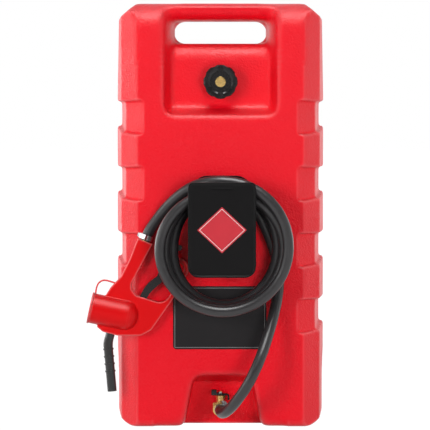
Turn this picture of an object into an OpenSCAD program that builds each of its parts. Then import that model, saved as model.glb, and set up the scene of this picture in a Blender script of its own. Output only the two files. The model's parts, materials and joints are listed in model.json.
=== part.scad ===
// Wheeled fuel caddy: a moulded upright tank with a drain valve, a coiled hose and a trigger nozzle.
// Millimetres. The origin is on the floor under the tank's middle, +X right, the front faces -Y, +Z up.

/* [Tank] */
// Width across the side blocks at the parting line
tank_w = 388; // [370:1:410]
// Depth from front face to back face
tank_d = 240; // [225:1:270]
// Height over the handle
tank_h = 785; // [775:1:820]
// Thickness of the moulded wall
wall = 5; // [3:0.5:7]
// Draft of each side from the parting line to the corner bevel
side_draft = 9; // [4:0.5:12]
// Width of the corner bevels, seen from the front
bevel_x = 30; // [20:1:36]
// Depth of the corner bevels, seen from the side
bevel_y = 32; // [24:1:40]
// Radius of the two lower corners, seen from the front
base_r = 38; // [24:1:50]
// Radius along the base's front and back edges
base_edge_r = 12; // [8:1:18]
// Width of the cut top corners
top_cut_x = 34; // [20:1:44]
// Height of the cut top corners
top_cut_z = 28; // [16:1:36]
// How far each side leans in towards the top
top_taper = 4; // [0:0.5:6]
// How far the front and back lean in at the top edge
top_lean_y = 30; // [16:1:40]
// Height of the leaning top edge
top_lean_z = 40; // [24:1:46]

/* [Side blocks] */
// Number of recessed bands between the side blocks
band_count = 4; // [2:1:4]
// Distance from the tank's top down to the uppermost band
shoulder_h = 180; // [165:1:195]
// Spacing of the bands
band_pitch = 122.5; // [110:0.5:130]
// Height of a band at the front
band_h = 62.5; // [40:0.5:70]
// Depth of a band in the side
band_side = 8.5; // [4:0.5:10]
// Shift of the bevel's front edge in a band
band_front = 12.5; // [6:0.5:16]
// Draft of a band's upper wall
band_draft_top = 2; // [0:0.5:6]
// Slope of a band's lower wall
band_draft_low = 14.5; // [4:0.5:18]

/* [Handle and pocket] */
// Length of the handle slot
slot_w = 174; // [140:1:180]
// Height of the handle slot
slot_h = 42; // [34:1:46]
// Height of the grip above the slot
grip_h = 32; // [28:1:40]
// Depth of the grip, front to back
grip_d = 60; // [44:1:70]
// Height of the rim over the grip's sloping front
grip_rim = 8; // [6:0.5:10]
// Corner radius under that rim
grip_r = 10; // [6:1:14]
// How far the grip's front lies behind the rim
grip_set = 4; // [2:0.5:8]
// Depth of the curve under the grip's front
grip_curve = 40; // [30:1:46]
// Width of the pocket at its rim
pocket_w = 212; // [200:1:230]
// Width of the pocket's floor
pocket_floor_w = 186; // [182:1:196]
// Distance from the tank's top down to the pocket's lower rim
pocket_drop = 208; // [200:1:225]
// Depth of the pocket's floor behind the front face
pocket_depth = 35; // [30:1:42]
// Rise of the pocket's lower wall
pocket_slope = 15; // [8:1:20]
// Height of the slope between the pocket's floor and the slot
ledge_h = 28; // [20:1:34]
// Radius of the pocket's lower corners
pocket_r = 26; // [14:1:34]

/* [Filler] */
// Distance from the tank's top down to the filler's axis
filler_drop = 145; // [140:1:150]
// Bore of the filler neck
neck_bore = 38; // [30:0.5:40]
// Outer diameter of the filler neck
neck_d = 48; // [46:0.5:49]
// Length of the filler neck in front of the pocket's floor
neck_len = 20; // [16:0.5:22]
// Height of the neck's thread rings
thread_h = 1.5; // [1:0.1:1.8]
// Diameter of the cap over its lobes
cap_d = 63; // [62:0.5:70]
// Height of the cap
cap_h = 31; // [29:0.5:34]
// Number of lobes on the cap
cap_lobes = 8; // [6:1:10]
// Depth of the hollows between the lobes
lobe_depth = 1.6; // [0.8:0.1:1.8]
// Thickness of the seal disc
seal_t = 2; // [1.5:0.1:3]
// Diameter of the vent's brass flange
vent_d = 19; // [17:0.5:22]
// Bore of the vent
vent_bore = 10; // [8:0.1:11]

/* [Drain recess] */
// Sideways place of the recess
recess_x = 4; // [0:1:8]
// Width of the recess at the floor
recess_w = 144; // [130:1:160]
// Width of the recess at its top
recess_top_w = 110; // [96:1:120]
// Height of the recess at the front
recess_h = 98; // [92:1:108]
// Depth of the recess behind the front face
recess_depth = 62; // [60:0.5:70]
// Radius of the recess's top corners
recess_r = 18; // [10:1:24]

/* [Drain valve] */
// Height of the outlet's axis
drain_z = 30; // [28:0.5:34]
// Diameter of the nipple through the tank wall
nipple_d = 20; // [18:0.5:22]
// Bore of the valve
valve_bore = 13; // [10:0.5:13.5]
// Diameter of the ball
ball_d = 19; // [18:0.1:20]
// Outer diameter of the valve's chamber
chamber_d = 28; // [26:0.5:30]
// Diameter of the stem
stem_d = 8; // [6:0.5:8]
// Height of the lever's underside above the outlet's axis
lever_rise = 25; // [24.5:0.5:28]
// Thickness of the lever
lever_t = 3.5; // [2.5:0.5:5]
// Reach of the lever's wings from the stem
lever_reach = 17; // [15:0.5:17.5]

/* [Wheels] */
// Diameter of the wheels
wheel_d = 150; // [130:1:156]
// Width of the wheels
wheel_w = 38; // [28:1:42]
// Thickness of the tyre
tyre_t = 12; // [8:0.5:16]
// Diameter of the axle
axle_d = 12; // [10:0.5:14]
// Distance of the axle behind the tank's middle
axle_y = 60; // [54:1:66]
// Gap between the wheel and its well
well_clear = 8; // [6:0.5:12]
// Distance of each well's inner wall from the middle
well_x = 118; // [112:1:122]
// Number of openings in each wheel's web
web_holes = 5; // [4:1:7]

/* [Label] */
// Width of the label panel
label_w = 173; // [160:1:178]
// Height of the label panel
label_h = 117; // [90:1:120]
// Height of the label panel's lower edge
label_z = 145; // [140:1:150]
// Sideways place of the label panel
label_x = -1.5; // [-4:0.5:4]
// Thickness of the label panel
label_t = 1; // [0.8:0.1:1.5]
// Depth of the label's seat in the tank
label_seat = 0.7; // [0.4:0.1:0.7]

/* [Hose holder] */
// Sideways place of the holder
holder_x = 2.5; // [0:0.5:4]
// Width of the front plate
plate_w = 124; // [110:1:126]
// Height of the front plate
plate_h = 174; // [150:1:176]
// Height of the front plate's lower edge
plate_z = 284; // [280:1:290]
// Thickness of the front plate
plate_t = 4; // [3:0.5:5]
// Radius of the front plate's lower corners
plate_r = 20; // [12:1:26]
// Distance from the tank's face to the plate's back
holder_depth = 92; // [91:0.5:96]
// Width of the back flange
flange_w = 112; // [100:1:114]
// Thickness of the back flange
flange_t = 4; // [3:0.5:5]
// Width of the core that the hose hangs on
core_w = 84; // [60:1:86]
// Height of the top of the core
core_top = 427.5; // [420:0.5:428]
// Wall of the hollow core
core_wall = 3; // [2:0.5:5]
// Diameter of the holder's screws
screw_d = 5; // [4:0.5:6]
// Length of the holder's screws in the tank
screw_len = 12; // [8:0.5:14]
// Half the width of the placard
placard_x = 45; // [36:1:48]
// Half the height of the placard
placard_z = 42; // [34:1:46]

/* [Hose] */
// Outer diameter of the hose
hose_d = 20; // [19:0.1:20]
// Bore of the hose
hose_bore = 14; // [12:0.1:15]
// Radius of the smallest loop at the side
coil_in = 88; // [84:0.5:92]
// Radius of the largest loop
coil_out = 119; // [117:0.5:122]
// Radius of the loops where they lie on the core
coil_top = 98; // [96:0.5:99]
// Step from loop to loop, towards the front
coil_step = 20.6; // [20.5:0.1:21]

/* [Nozzle] */
// Thickness of the nozzle's flat body
grip_t = 22; // [21:0.5:22.5]
// Gap between the nozzle and the tank's face
rest_gap = 0.6; // [0.4:0.1:0.8]
// Width of the guard's band
guard_band = 8.5; // [6:0.5:10]
// Outer radius of the guard's hooked end
guard_r = 20.5; // [18:0.5:20.5]
// Diameter of the pump barrel
barrel_d = 56; // [50:1:58]
// Length of the pump barrel
barrel_len = 88; // [80:1:92]
// Wall of the pump barrel
barrel_wall = 3; // [2.5:0.5:4]
// Thickness of the trigger
trigger_t = 10; // [8:0.5:11]
// Width of the trigger's blade
trigger_w = 10; // [8:0.5:11]
// Diameter of the trigger's pin
pin_d = 6; // [5:0.5:7]
// Bore of the pump cylinder
pump_bore = 22; // [18:0.5:24]
// Outer diameter of the spout
spout_d = 17; // [15:0.5:18]
// Number of ribs on the spout
spout_ribs = 4; // [2:1:6]

/* [Fits] */
// Running clearance on the radius of shafts and pins
run_fit = 0.06; // [0.03:0.01:0.1]
// Clearance between moving pieces
move_gap = 0.3; // [0.2:0.05:0.5]

/* [Hidden] */
$fn = 64;
eps = 0.5;
red = "#d4141f";
bright_red = "#e01810";
black = "#1c1c1e";
rubber = "#2b2b2d";
brass = "#b98a3a";
steel = "#b9bcc0";

// Tank: half sizes and the planes that other pieces sit on
hw = tank_w/2;
front = -tank_d/2;
back = tank_d/2;
slot_z = tank_h - grip_h - slot_h/2;
band_top = tank_h - shoulder_h;
pocket_z = tank_h - pocket_drop;
filler_z = tank_h - filler_drop;
pocket_y = front + pocket_depth;
pocket_top = slot_z - slot_h/2 - ledge_h;
relief_low = 45;
relief_top = 28;
grip_y = grip_d/2;
recess_y = front + recess_depth;

// A convex outline with every edge moved inwards by d, outwards where d is negative
function unit(v) = v/norm(v);
function inward(a, b) = unit([a.y - b.y, b.x - a.x]);
function inset(p, d) = let (n = len(p)) [
    for (i = [0:n - 1])
        let (u = inward(p[(i + n - 1)%n], p[i]), v = inward(p[i], p[(i + 1)%n]))
        p[i] + d*(u + v)/(1 + u*v)
];
function arc(c, r, a0, a1, n = 8) = [for (i = [0:n]) let (a = a0 + (a1 - a0)*i/n) c + r*[cos(a), sin(a)]];
function flip(p) = [for (i = [len(p) - 1:-1:0]) [-p[i].x, p[i].y]];

// Prisms of a flat outline: along Y from an XZ outline, along X from a YZ outline
module prism_y(y0, y1) translate([0, y1, 0]) rotate([90, 0, 0]) linear_extrude(y1 - y0) children();
module prism_x(x0, x1) translate([x0, 0, 0]) rotate([90, 0, 90]) linear_extrude(x1 - x0) children();
module ring(od, id, h) difference() {
    cylinder(d = od, h = h);
    translate([0, 0, -eps]) cylinder(d = id, h = h + 2*eps);
}

// Outlines of the tank: plan, front and side
function plan_half(side, edge) = [
    [hw - side_draft - bevel_x - edge, front],
    [hw - side_draft - side, front + bevel_y],
    [hw - side, 0],
    [hw - side_draft - side, back - bevel_y],
    [hw - side_draft - bevel_x - edge, back]
];
function plan(side = 0, edge = 0) = concat(plan_half(side, edge), flip(plan_half(side, edge)));
front_half = concat(
    arc([hw - base_r, base_r], base_r, -90, 0),
    [[hw, band_top], [hw - top_taper, tank_h - top_cut_z], [hw - top_taper - top_cut_x, tank_h]]
);
top_steps = 5;
side_half = concat(
    arc([back - base_edge_r, base_edge_r], base_edge_r, -90, 0, 4),
    [for (i = [0:top_steps]) let (u = i/top_steps) [back - top_lean_y*u*u, tank_h - top_lean_z*(1 - u)]]
);
function band(k) = let (top = band_top - k*band_pitch, low = top - band_h) [
    [front - eps, low], [0, low + band_draft_low], [0, top - band_draft_top], [front - eps, top]
];

// Outlines of the cuts in the tank
pocket_plan = concat(
    [[pocket_w/2, front - eps], [pocket_floor_w/2, pocket_y], [slot_w/2 + eps, -grip_y]],
    [[-slot_w/2 - eps, -grip_y], [-pocket_floor_w/2, pocket_y], [-pocket_w/2, front - eps]]
);
pocket_side = [
    [front - eps, pocket_z], [pocket_y, pocket_z + pocket_slope], [pocket_y, slot_z], [front - eps, slot_z]
];
slot_low = slot_z - slot_h/2;
slot_top = slot_z + slot_h/2;
rim_y = front + top_lean_y*pow(1 - grip_rim/top_lean_z, 2) + grip_set;
grip_bar = grip_h - grip_rim;
ledge_side = concat(
    [[front - eps, pocket_top]],
    arc([pocket_y + ledge_h, pocket_top], ledge_h, 180, 90), [[-grip_y, slot_low], [-grip_y, slot_top]],
    [for (a = [90:-15:0]) [rim_y + grip_curve*(1 - cos(a)), slot_top + grip_bar*(1 - sin(a))]],
    [[front - eps, slot_top + grip_bar]]
);
pocket_face = concat(
    arc([-pocket_w/2 + pocket_r, pocket_z + pocket_r], pocket_r, 180, 270),
    arc([pocket_w/2 - pocket_r, pocket_z + pocket_r], pocket_r, 270, 360),
    arc([pocket_w/2 - grip_r, tank_h - grip_rim - grip_r], grip_r, 0, 90, 5),
    arc([-pocket_w/2 + grip_r, tank_h - grip_rim - grip_r], grip_r, 90, 180, 5)
);
relief_side = [
    [grip_y, slot_low], [back + eps, slot_low - relief_low],
    [back + eps, slot_top + relief_top], [grip_y, slot_top]
];
recess_lean = atan((recess_w - recess_top_w)/2/recess_h);
recess_half = concat(
    [[recess_w/2, -eps]],
    arc([recess_top_w/2 - recess_r, recess_h - recess_r], recess_r, recess_lean, 90)
);
recess_face = [for (p = concat(recess_half, flip(recess_half))) p + [recess_x, 0]];
recess_side = [
    [front - eps, -eps], [recess_y, -eps], [recess_y, recess_h - recess_r], [front - eps, recess_h]
];
axle_z = wheel_d/2;
well_r = wheel_d/2 + well_clear;
well_side = concat(
    [[axle_y - well_r, -eps], [back + eps, -eps], [back + eps, axle_z + well_r]],
    arc([axle_y, axle_z], well_r, 90, 180)
);

// The tank's outer form, or with d above 0 the same form set in by d on every face
module tank_form(d) difference() {
    intersection() {
        translate([0, 0, d]) linear_extrude(tank_h - 2*d) polygon(inset(plan(), d));
        prism_y(front + d, back - d) polygon(inset(concat(front_half, flip(front_half)), d));
        prism_x(-hw + d, hw - d) polygon(inset(concat(side_half, flip(side_half)), d));
    }
    for (k = [0:band_count - 1]) band_cut(k, d);
    intersection() {
        translate([0, 0, pocket_z - d]) linear_extrude(tank_h) polygon(inset(pocket_plan, -d));
        prism_y(front - d - eps, -grip_y + d) polygon(inset(pocket_face, -d));
        union() {
            prism_x(-hw, hw) polygon(inset(pocket_side, -d));
            prism_x(-hw, hw) polygon(inset(ledge_side, -d));
        }
    }
    prism_x(-slot_w/2 - d, slot_w/2 + d) polygon(inset(relief_side, -d));
    prism_y(front, back) slot_face(d);
    intersection() {
        prism_y(front - d - eps, recess_y + d) polygon(inset(recess_face, -d));
        prism_x(-hw, hw) polygon(inset(recess_side, -d));
    }
    for (s = [0, 1]) mirror([s, 0, 0]) prism_x(well_x - d, hw + eps) polygon(inset(well_side, -d));
    at_axle(-hw) cylinder(d = axle_d + 2*d, h = tank_w);
}
module slot_face(d) {
    square_w = slot_w - slot_h;
    translate([-square_w/2, slot_z - slot_h/2 - d]) square([square_w, slot_h + 2*d]);
    for (s = [-1, 1]) translate([s*square_w/2, slot_z]) circle(d = slot_h + 2*d);
}
module band_cut(k, d) for (m = [0, 1]) mirror([0, m, 0]) difference() {
    prism_x(-hw - eps, hw + eps) polygon(inset(band(k), -d));
    linear_extrude(tank_h) polygon(inset(plan(band_side, band_front), d));
}

// Filler: local +Z runs out of the pocket along the neck
module at_filler() translate([0, pocket_y, filler_z]) rotate([90, 0, 0]) children();
// Drain: local +Z runs out of the recess along the outlet
drain_x = 0;
module at_drain() translate([drain_x, recess_y, drain_z]) rotate([90, 0, 0]) children();
// Holder screws: places on the tank's face
screw_edge = 9;
screw_x = flange_w/2 - screw_edge;
flange_over = 9;
flange_under = 2;
flange_top = plate_z + plate_h + flange_over;
flange_low = plate_z - flange_under;
screw_low = 14;
screw_high = 26;
screw_z = [flange_low + screw_low, flange_top - screw_high];
module at_screws() for (s = [-1, 1], z = screw_z)
    translate([holder_x + s*screw_x, front, z]) rotate([90, 0, 0]) children();
label_r = 6;
module label_face() translate([label_x, label_z + label_h/2]) {
    square([label_w, label_h - 2*label_r], center = true);
    square([label_w - 2*label_r, label_h], center = true);
    for (x = [-1, 1], z = [-1, 1]) translate([x*(label_w/2 - label_r), z*(label_h/2 - label_r)])
        circle(r = label_r);
}

boss_d = 16;
thread_at = [0.4, 0.72];
thread_w = 2.5;
module tank_shell() color(red) difference() {
    union() {
        difference() {
            tank_form(0);
            tank_form(wall);
        }
        at_filler() {
            translate([0, 0, -eps]) cylinder(d = neck_d, h = neck_len + eps);
            for (k = thread_at) translate([0, 0, neck_len*k]) cylinder(d = neck_d + 2*thread_h, h = thread_w);
        }
        at_screws() translate([0, 0, -screw_len - wall]) cylinder(d = boss_d, h = screw_len + wall);
    }
    at_filler() translate([0, 0, -wall - eps]) cylinder(d = neck_bore, h = neck_len + wall + 2*eps);
    at_drain() translate([0, 0, -wall - eps]) cylinder(d = nipple_d, h = wall + 2*eps);
    at_screws() translate([0, 0, -screw_len]) cylinder(d = screw_d, h = screw_len + eps);
    prism_y(front - eps, front + label_seat) label_face();
}

module label_panel() color(black) prism_y(front + label_seat - label_t, front + label_seat) label_face();

// Filler cap
seal_gap = 0.2;
seal_z = neck_len + seal_gap;
cap_roof = seal_z + seal_t + seal_gap;
cap_skirt = 3;
cap_top = cap_skirt + cap_h;
cap_bore = neck_d + 2*thread_h + 2*move_gap;
cap_dish = 5;
dish_d = 40;
dish_flare = 8;
cap_edge = 2;
cap_slot = 9;
lobe_r = 12;
vent_hole = 14;
module cap_seal() color(rubber) at_filler() translate([0, 0, seal_z]) ring(neck_d, vent_hole, seal_t);
module cap_body() color(black) at_filler() difference() {
    union() {
        translate([0, 0, cap_skirt]) cylinder(d = cap_d, h = cap_h - cap_edge);
        translate([0, 0, cap_top - cap_edge]) cylinder(d1 = cap_d, d2 = cap_d - 2*cap_edge, h = cap_edge);
    }
    translate([0, 0, cap_skirt - eps]) cylinder(d = cap_bore, h = cap_roof - cap_skirt + eps);
    for (i = [0:cap_lobes - 1]) rotate([0, 0, (i + 0.5)*360/cap_lobes])
        translate([cap_d/2 + lobe_r - lobe_depth, 0, 0]) cylinder(r = lobe_r, h = cap_top + eps);
    translate([0, 0, cap_top - cap_dish]) cylinder(d = dish_d, h = cap_dish + eps);
    translate([0, 0, cap_top - cap_edge]) cylinder(d1 = dish_d, d2 = dish_d + dish_flare, h = cap_edge + eps);
    translate([-cap_slot/2, -cap_d/2, cap_top - cap_dish/2]) cube([cap_slot, cap_d, cap_dish]);
    translate([0, 0, cap_roof - eps]) cylinder(d = vent_hole, h = cap_h);
}
vent_z = cap_roof;
vent_top = cap_top - cap_dish + 2.5;
vent_seat_t = 1.5;
vent_plug_t = 1.8;
poppet_t = 1.5;
module vent_body() color(brass) at_filler() difference() {
    union() {
        translate([0, 0, vent_z]) cylinder(d = vent_hole, h = vent_top - vent_z);
        translate([0, 0, cap_top - cap_dish]) cylinder(d = vent_d, h = vent_top - cap_top + cap_dish);
    }
    translate([0, 0, vent_z + vent_seat_t]) cylinder(d = vent_bore, h = cap_h);
    translate([0, 0, vent_z - eps]) cylinder(d = vent_bore/2, h = cap_h);
}
module vent_plug() color(brass) at_filler() difference() {
    translate([0, 0, vent_top - vent_plug_t]) cylinder(d = vent_bore, h = vent_plug_t);
    translate([0, 0, vent_top - 0.8]) cube([vent_bore*0.7, 1.2, 2], center = true);
    cylinder(d = 2, h = cap_top);
}
poppet_z = vent_z + vent_seat_t + move_gap;
module vent_poppet() color(brass) at_filler() {
    translate([0, 0, poppet_z]) cylinder(d = vent_bore - 2*move_gap, h = poppet_t);
    translate([0, 0, vent_z]) cylinder(d = vent_bore/2 - 2*move_gap, h = poppet_z - vent_z + eps);
}
vent_spring_h = vent_top - vent_plug_t - poppet_z - poppet_t;
module vent_spring() color(steel) at_filler() translate([0, 0, poppet_z + poppet_t])
    helix(vent_bore/2 - 1.4, 0.35, vent_spring_h, 3, 8, 5);

// Round-wire helix along +Z whose ends stay inside the height h
module helix(r, wire, h, turns, per_turn, sides) {
    count = turns*per_turn;
    pts = [for (i = [0:count], j = [0:sides - 1]) let (
        a = 360*i/per_turn, b = 360*j/sides, z = wire + (h - 2*wire)*i/count
    ) [(r + wire*cos(b))*cos(a), (r + wire*cos(b))*sin(a), z + wire*sin(b)]];
    polyhedron(pts, tube_faces(count, sides));
}
function tube_faces(count, sides) = concat(
    [for (j = [1:sides - 2]) [0, j + 1, j]],
    [for (i = [0:count - 1], j = [0:sides - 1], h = [0, 1])
        let (a = i*sides + j, b = i*sides + (j + 1)%sides)
            h == 0 ? [a, b, b + sides] : [a, b + sides, a + sides]],
    [for (j = [1:sides - 2]) [count*sides, count*sides + j, count*sides + j + 1]]
);

// Drain valve: places along the outlet, measured from the recess's back wall
gasket_t = 2;
gasket_d = 32;
flange_h = 5;
seat_t = 2.5;
ball_gap = 0.25;
chamber_bore = ball_d + 2*move_gap;
ball_z = gasket_t + flange_h + chamber_d/2 - 2;
seat_off = sqrt(pow(ball_d/2, 2) - pow(valve_bore/2, 2)) + ball_gap;
body_end = ball_z + chamber_d/2 - 1;
nipple_in = wall + 12;
tail_hex = 5;
barb_len = 20;
module valve_body() color(brass) at_drain() difference() {
    union() {
        translate([0, 0, -nipple_in]) cylinder(d = nipple_d, h = nipple_in + gasket_t + eps);
        translate([0, 0, gasket_t]) rotate([0, 0, 30]) cylinder(d = gasket_d, h = flange_h, $fn = 6);
        translate([0, 0, gasket_t + eps]) cylinder(d = chamber_d, h = body_end - gasket_t - eps);
        translate([0, 0, ball_z]) rotate([-90, 0, 0]) cylinder(d = boss_w, h = boss_top);
    }
    translate([0, 0, -nipple_in - eps]) cylinder(d = valve_bore, h = nipple_in + ball_z);
    translate([0, 0, ball_z - seat_off - seat_t]) cylinder(d = chamber_bore, h = body_end);
    translate([0, 0, ball_z]) rotate([-90, 0, 0]) cylinder(d = stem_d + 2*run_fit, h = boss_top + eps);
    translate([0, 0, ball_z]) rotate([-90, 0, 0]) translate([0, 0, packing_z])
        cylinder(d = packing_d, h = boss_top);
}
boss_w = stem_d + 8;
boss_top = chamber_d/2 + 5;
packing_d = stem_d + 4;
packing_z = boss_top - 3;
module bulkhead_gasket() color(rubber) at_drain() ring(gasket_d - 4, nipple_d, gasket_t);
nut_h = 8;
nut_over = 12;
module bulkhead_nut() color(brass) at_drain() translate([0, 0, -wall - nut_h]) difference() {
    cylinder(d = nipple_d + nut_over, h = nut_h, $fn = 6);
    translate([0, 0, -eps]) cylinder(d = nipple_d, h = nut_h + 2*eps);
}
module valve_seats() color("white") at_drain() for (s = [-1, 1])
    translate([0, 0, ball_z + s*(seat_off + seat_t/2) - seat_t/2]) ring(chamber_bore, valve_bore, seat_t);
// Closed at rest: the ball's bore lies across the flow, in line with the lever
module at_stem() at_drain() translate([0, 0, ball_z]) rotate([-90, 0, 0]) children();
slot_depth = 2;
tongue = 3;
module valve_ball() color(steel) at_stem() difference() {
    sphere(d = ball_d);
    translate([-ball_d, 0, 0]) rotate([0, 90, 0]) cylinder(d = valve_bore - 3, h = 2*ball_d);
    translate([-ball_d/2, -tongue/2, ball_d/2 - slot_depth]) cube([ball_d, tongue, slot_depth + eps]);
}
stem_step = 3;
lever_nut_h = 3;
stem_top = lever_rise + lever_t + lever_nut_h + 1;
module valve_stem() color(brass) at_stem() {
    intersection() {
        translate([-stem_d/2, -tongue/2, ball_d/2 - slot_depth]) cube([stem_d, tongue, stem_d]);
        cylinder(d = stem_d, h = stem_top);
    }
    translate([0, 0, chamber_bore/2 + 1]) cylinder(d = stem_d, h = lever_rise - chamber_bore/2 - 1);
    translate([0, 0, lever_rise - eps]) cylinder(d = stem_d - stem_step, h = stem_top - lever_rise + eps);
}
module stem_packing() color("white") at_stem() translate([0, 0, packing_z])
    ring(packing_d, stem_d + 2*run_fit, boss_top - packing_z);
module packing_nut() color(brass) at_stem() translate([0, 0, boss_top]) difference() {
    cylinder(d = boss_w + 2, h = lever_rise - boss_top - move_gap, $fn = 6);
    translate([0, 0, -eps]) cylinder(d = stem_d + 2*run_fit, h = lever_rise);
}
lever_w = 11;
wing_drop = 9;
touch = 0.01;
tab_w = 10;
tab_h = 7;
module valve_lever() color(black) at_stem() difference() {
    union() {
        translate([-lever_reach, -lever_w/2, lever_rise]) cube([lever_reach, lever_w, lever_t]);
        translate([0, 0, lever_rise]) cylinder(d = lever_w + 2, h = lever_t);
        translate([-lever_reach, -lever_w/2, lever_rise + lever_t - eps]) cube([tab_w, lever_w, tab_h + eps]);
        rotate([90, 0, 0]) translate([0, 0, -lever_w/2]) linear_extrude(lever_w) wing_profile();
    }
    translate([0, 0, lever_rise - eps]) cylinder(d = stem_d - stem_step, h = lever_t + 2*eps);
}
// The wing runs level from the stem, then turns down in an arc
module wing_profile() {
    bend = lever_t + 3;
    translate([0, lever_rise]) square([lever_reach - bend, lever_t]);
    translate([lever_reach - bend, lever_rise + lever_t - bend]) intersection() {
        difference() {
            circle(r = bend);
            circle(r = bend - lever_t);
        }
        square(bend);
    }
    translate([lever_reach - lever_t, lever_rise - wing_drop])
        square([lever_t, wing_drop + lever_t - bend + touch]);
}
module lever_nut() color(steel) at_stem() translate([0, 0, lever_rise + lever_t]) difference() {
    cylinder(d = stem_d + stem_step, h = lever_nut_h, $fn = 6);
    translate([0, 0, -eps]) cylinder(d = stem_d - stem_step, h = lever_nut_h + 2*eps);
}
tail_z = ball_z + seat_off + seat_t;
hose_z = body_end + tail_hex;
module valve_tailpiece() color(brass) at_drain() difference() {
    union() {
        translate([0, 0, tail_z]) cylinder(d = chamber_bore, h = body_end - tail_z);
        translate([0, 0, body_end]) rotate([0, 0, 30]) cylinder(d = chamber_d, h = tail_hex, $fn = 6);
        translate([0, 0, hose_z - eps]) barb(barb_len + eps);
    }
    translate([0, 0, tail_z - eps]) cylinder(d = barb_bore, h = hose_z - tail_z + barb_len + 2*eps);
}
barb_wall = 2.5;
barb_bore = hose_bore - 2*barb_wall;
barb_root = hose_bore - 1.2;
module barb(len) {
    cylinder(d = barb_root, h = len);
    for (i = [0:2]) translate([0, 0, len - (i + 1)*len/4])
        cylinder(d1 = hose_bore, d2 = barb_root, h = len/5);
}

// Worm-drive hose clamp: a band round the hose with a screw housing on top
band_t = 0.9;
clamp_w = 9;
house_d = 8;
house_len = 14;
clamp_fit = 0.1;
bolt_d = house_d - 2.4;
bolt_head = 4;
module clamp_band() difference() {
    union() {
        cylinder(d = hose_d + 2*band_t, h = clamp_w);
        translate([hose_d/2, -house_len/2, 0]) cube([house_d, house_len, clamp_w]);
    }
    translate([0, 0, -eps]) cylinder(d = hose_d + 2*clamp_fit, h = clamp_w + 2*eps);
    translate([hose_d/2 + house_d/2, -house_len/2 - eps, clamp_w/2]) rotate([-90, 0, 0])
        cylinder(d = bolt_d, h = house_len + 2*eps);
}
module clamp_bolt() difference() {
    union() {
        translate([hose_d/2 + house_d/2, -house_len/2, clamp_w/2]) rotate([-90, 0, 0])
            cylinder(d = bolt_d, h = house_len + eps);
        translate([hose_d/2 + house_d/2, house_len/2, clamp_w/2]) rotate([-90, 0, 0])
            cylinder(d = house_d, h = bolt_head, $fn = 6);
    }
    translate([hose_d/2, house_len/2 + bolt_head - 1, clamp_w/2 - 0.6]) cube([house_d, 2, 1.2]);
}
valve_clamp_turn = 40;
module at_valve_clamp() at_drain() translate([0, 0, hose_z + 5]) rotate([0, 0, valve_clamp_turn]) children();
module valve_clamp() color(steel) at_valve_clamp() clamp_band();
module valve_clamp_screw() color(steel) at_valve_clamp() clamp_bolt();

// Wheels and axle
washer_t = 2;
wheel_x = well_x + washer_t + move_gap;
wheel_end = wheel_x + wheel_w;
cap_len = 9;
cap_taper = 3;
cap_over = 5;
washer_over = 8;
axle_end = wheel_end + move_gap + cap_len - cap_taper;
rim_d = wheel_d - 2*tyre_t;
hub_d = 36;
web_t = 8;
hub_rim = 6;
rim_inset = 3;
tread_r = 6;
groove_w = 2;
groove_deep = 2;
web_hole_d = 22;
module at_axle(x) translate([x, axle_y, axle_z]) rotate([0, 90, 0]) children();
module axle() color(steel) at_axle(-axle_end) cylinder(d = axle_d, h = 2*axle_end);
module axle_washers() color(steel) for (s = [0, 1]) mirror([s, 0, 0]) at_axle(well_x)
    ring(axle_d + 2*washer_over, axle_d, washer_t);
module axle_caps() color(steel) for (s = [0, 1])
    mirror([s, 0, 0]) at_axle(wheel_end + move_gap) difference() {
    union() {
        cylinder(d = axle_d + 2*cap_over, h = cap_len - cap_taper);
        translate([0, 0, cap_len - cap_taper]) cylinder(d1 = axle_d + 2*cap_over, d2 = axle_d, h = cap_taper);
    }
    translate([0, 0, -eps]) cylinder(d = axle_d, h = cap_len - cap_taper + eps);
}
module wheel_hub() difference() {
    rotate_extrude() {
        translate([axle_d/2 + run_fit, 0]) square([hub_d/2 - axle_d/2 - run_fit, wheel_w]);
        translate([axle_d/2 + run_fit, wheel_w/2 - web_t/2]) square([rim_d/2 - axle_d/2 - run_fit, web_t]);
        translate([rim_d/2 - hub_rim, rim_inset]) square([hub_rim, wheel_w - 2*rim_inset]);
    }
    web_mid = (hub_d + rim_d - 2*hub_rim)/4;
    for (i = [0:web_holes - 1]) rotate([0, 0, i*360/web_holes]) translate([web_mid, 0, 0])
        cylinder(d = min(web_hole_d, rim_d/2 - hub_d/2 - hub_rim - web_t), h = wheel_w);
}
module wheel_tyre() difference() {
    rotate_extrude() polygon(concat(
        [[rim_d/2, rim_inset], [wheel_d/2 - tread_r, 0]],
        arc([wheel_d/2 - tread_r, tread_r], tread_r, -90, 0, 4),
        arc([wheel_d/2 - tread_r, wheel_w - tread_r], tread_r, 0, 90, 4), [[rim_d/2, wheel_w - rim_inset]]
    ));
    for (z = [0.35, 0.65]) translate([0, 0, wheel_w*z - groove_w/2]) difference() {
        cylinder(d = wheel_d + 2*eps, h = groove_w);
        cylinder(d = wheel_d - 2*groove_deep, h = groove_w);
    }
}
module wheel_hub_right() color(black) at_axle(wheel_x) wheel_hub();
module wheel_tyre_right() color(rubber) at_axle(wheel_x) wheel_tyre();
module wheel_hub_left() color(black) mirror([1, 0, 0]) at_axle(wheel_x) wheel_hub();
module wheel_tyre_left() color(rubber) mirror([1, 0, 0]) at_axle(wheel_x) wheel_tyre();

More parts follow.
